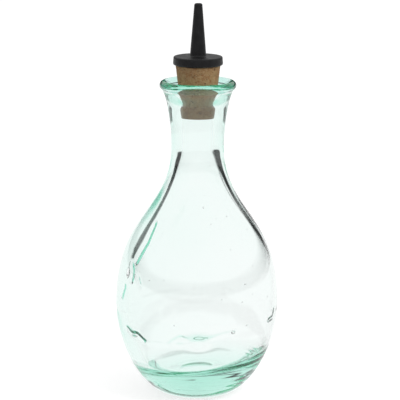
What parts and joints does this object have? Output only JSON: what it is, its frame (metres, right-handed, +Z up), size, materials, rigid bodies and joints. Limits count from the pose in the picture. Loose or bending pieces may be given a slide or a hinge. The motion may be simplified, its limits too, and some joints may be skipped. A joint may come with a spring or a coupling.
{
  "type": "bitters bottle",
  "caption": "Hand-blown glass bottle with a round belly, thick base and rolled lip, stopped by a tapered cork that carries a moulded dasher spout.",
  "frame": {"origin": "centre of the foot, on the surface the bottle stands on", "axes": "+Z up along the bottle's axis, -Y towards the camera of the picture, +X to its right"},
  "size_m": [0.0704, 0.0704, 0.17],
  "materials": {
    "green_glass": "gloss",
    "cork": "matte",
    "black_plastic": "satin"
  },
  "bodies": {
    "bottle": {"bottle": "green_glass"},
    "stopper": {"cork": "cork", "dasher": "black_plastic"}
  },
  "joints": [
    {"name": "stopper_pull", "type": "slide", "parent": "bottle", "child": "stopper", "axis": [0, 0, 1], "range_m": [0, 0.06]}
  ]
}
